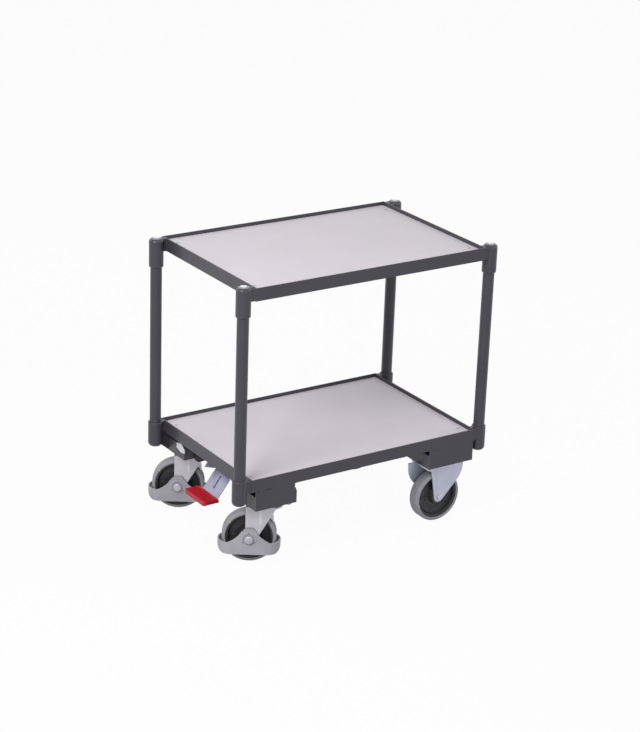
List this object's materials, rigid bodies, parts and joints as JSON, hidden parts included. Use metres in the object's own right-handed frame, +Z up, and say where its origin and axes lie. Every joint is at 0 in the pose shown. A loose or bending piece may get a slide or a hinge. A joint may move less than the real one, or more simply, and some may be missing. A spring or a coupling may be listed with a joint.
{
  "type": "two-tier shelf trolley",
  "caption": "Two-tier workshop trolley: angle-steel shelf frames with inlaid boards on tube posts, fixed and swivel castors, foot guards and a central foot brake.",
  "frame": {"origin": "on the floor under the middle of the shelf frames", "axes": "+X along the trolley towards the fixed castors, +Z up, pedal at -X"},
  "size_m": [0.6956, 0.4505, 0.6825],
  "materials": {
    "frame_paint": "satin powder coat",
    "shelf_board": "smooth melamine face",
    "zinc": "bright zinc",
    "cap_chrome": "polished",
    "tyre_grey": "matte grey rubber",
    "rim_plastic": "moulded",
    "bearing_steel": "turned",
    "guard_plastic": "moulded",
    "bearing_plastic": "moulded",
    "pedal_red": "moulded"
  },
  "bodies": {
    "chassis": {"lower_front_rail": "frame_paint", "lower_back_rail": "frame_paint", "lower_left_rail": "frame_paint", "lower_right_rail": "frame_paint", "lower_board": "shelf_board", "lower_front_left_sleeve": "frame_paint", "lower_front_right_sleeve": "frame_paint", "lower_back_left_sleeve": "frame_paint", "lower_back_right_sleeve": "frame_paint", "upper_front_rail": "frame_paint", "upper_back_rail": "frame_paint", "upper_left_rail": "frame_paint", "upper_right_rail": "frame_paint", "upper_board": "shelf_board", "upper_front_left_sleeve": "frame_paint", "upper_front_right_sleeve": "frame_paint", "upper_back_left_sleeve": "frame_paint", "upper_back_right_sleeve": "frame_paint", "front_left_post": "frame_paint", "front_right_post": "frame_paint", "fixed_front_bracket": "frame_paint", "fixed_front_fork": "zinc", "swivel_front_bracket": "frame_paint", "swivel_front_head": "zinc", "back_left_post": "frame_paint", "back_right_post": "frame_paint", "fixed_back_bracket": "frame_paint", "fixed_back_fork": "zinc", "swivel_back_bracket": "frame_paint", "swivel_back_head": "zinc", "board_screws": "bearing_steel", "cap_screws": "cap_chrome", "castor_bolts_and_nuts": "zinc", "fixed_axles": "zinc", "brake_shaft_bearings": "bearing_plastic"},
    "brake_pedal_body": {"brake_shaft": "bearing_steel", "pedal_arm": "zinc", "foot_pedal": "pedal_red"},
    "swivel_front": {"swivel_front_fork": "zinc", "swivel_front_axle": "zinc", "swivel_front_foot_guard": "guard_plastic"},
    "swivel_front_wheel": {"swivel_front_tyre": "tyre_grey", "swivel_front_rim": "rim_plastic", "swivel_front_bush": "bearing_steel"},
    "fixed_front_wheel": {"fixed_front_tyre": "tyre_grey", "fixed_front_rim": "rim_plastic", "fixed_front_bush": "bearing_steel"},
    "plunger_front": {"brake_front_plunger": "bearing_steel"},
    "shoe_front": {"brake_front_shoe": "bearing_plastic"},
    "swivel_back": {"swivel_back_fork": "zinc", "swivel_back_axle": "zinc", "swivel_back_foot_guard": "guard_plastic"},
    "swivel_back_wheel": {"swivel_back_tyre": "tyre_grey", "swivel_back_rim": "rim_plastic", "swivel_back_bush": "bearing_steel"},
    "fixed_back_wheel": {"fixed_back_tyre": "tyre_grey", "fixed_back_rim": "rim_plastic", "fixed_back_bush": "bearing_steel"},
    "plunger_back": {"brake_back_plunger": "bearing_steel"},
    "shoe_back": {"brake_back_shoe": "bearing_plastic"}
  },
  "joints": [
    {"name": "brake_pedal", "type": "hinge", "parent": "chassis", "child": "brake_pedal_body", "pos_m": [-0.234, 0, 0.17], "axis": [0, -1, 0], "range_deg": [0, 20]},
    {"name": "swivel_front_turn", "type": "hinge", "parent": "chassis", "child": "swivel_front", "pos_m": [-0.234, -0.1635, 0.14], "axis": [0, 0, 1], "continuous": true},
    {"name": "swivel_front_roll", "type": "hinge", "parent": "swivel_front", "child": "swivel_front_wheel", "pos_m": [-0.27006, -0.14008, 0.0625], "axis": [0.5446, 0.8387, 0], "continuous": true},
    {"name": "fixed_front_roll", "type": "hinge", "parent": "chassis", "child": "fixed_front_wheel", "pos_m": [0.228, -0.1688, 0.0625], "axis": [0, 1, 0], "continuous": true},
    {"name": "plunger_front_press", "type": "slide", "parent": "chassis", "child": "plunger_front", "axis": [0, 0, -1], "range_m": [0, 0.00247]},
    {"name": "shoe_front_press", "type": "slide", "parent": "swivel_front", "child": "shoe_front", "axis": [0, 0, -1], "range_m": [0, 0.00247]},
    {"name": "swivel_back_turn", "type": "hinge", "parent": "chassis", "child": "swivel_back", "pos_m": [-0.234, 0.1635, 0.14], "axis": [0, 0, 1], "continuous": true},
    {"name": "swivel_back_roll", "type": "hinge", "parent": "swivel_back", "child": "swivel_back_wheel", "pos_m": [-0.27006, 0.18692, 0.0625], "axis": [0.5446, 0.8387, 0], "continuous": true},
    {"name": "fixed_back_roll", "type": "hinge", "parent": "chassis", "child": "fixed_back_wheel", "pos_m": [0.228, 0.1688, 0.0625], "axis": [0, 1, 0], "continuous": true},
    {"name": "plunger_back_press", "type": "slide", "parent": "chassis", "child": "plunger_back", "axis": [0, 0, -1], "range_m": [0, 0.00247]},
    {"name": "shoe_back_press", "type": "slide", "parent": "swivel_back", "child": "shoe_back", "axis": [0, 0, -1], "range_m": [0, 0.00247]}
  ],
  "couplings": [
    {"joint": "plunger_front_press", "follows": "brake_pedal", "m_per_rad": 0.00705},
    {"joint": "shoe_front_press", "follows": "brake_pedal", "m_per_rad": 0.00705},
    {"joint": "plunger_back_press", "follows": "brake_pedal", "m_per_rad": 0.00705},
    {"joint": "shoe_back_press", "follows": "brake_pedal", "m_per_rad": 0.00705}
  ]
}
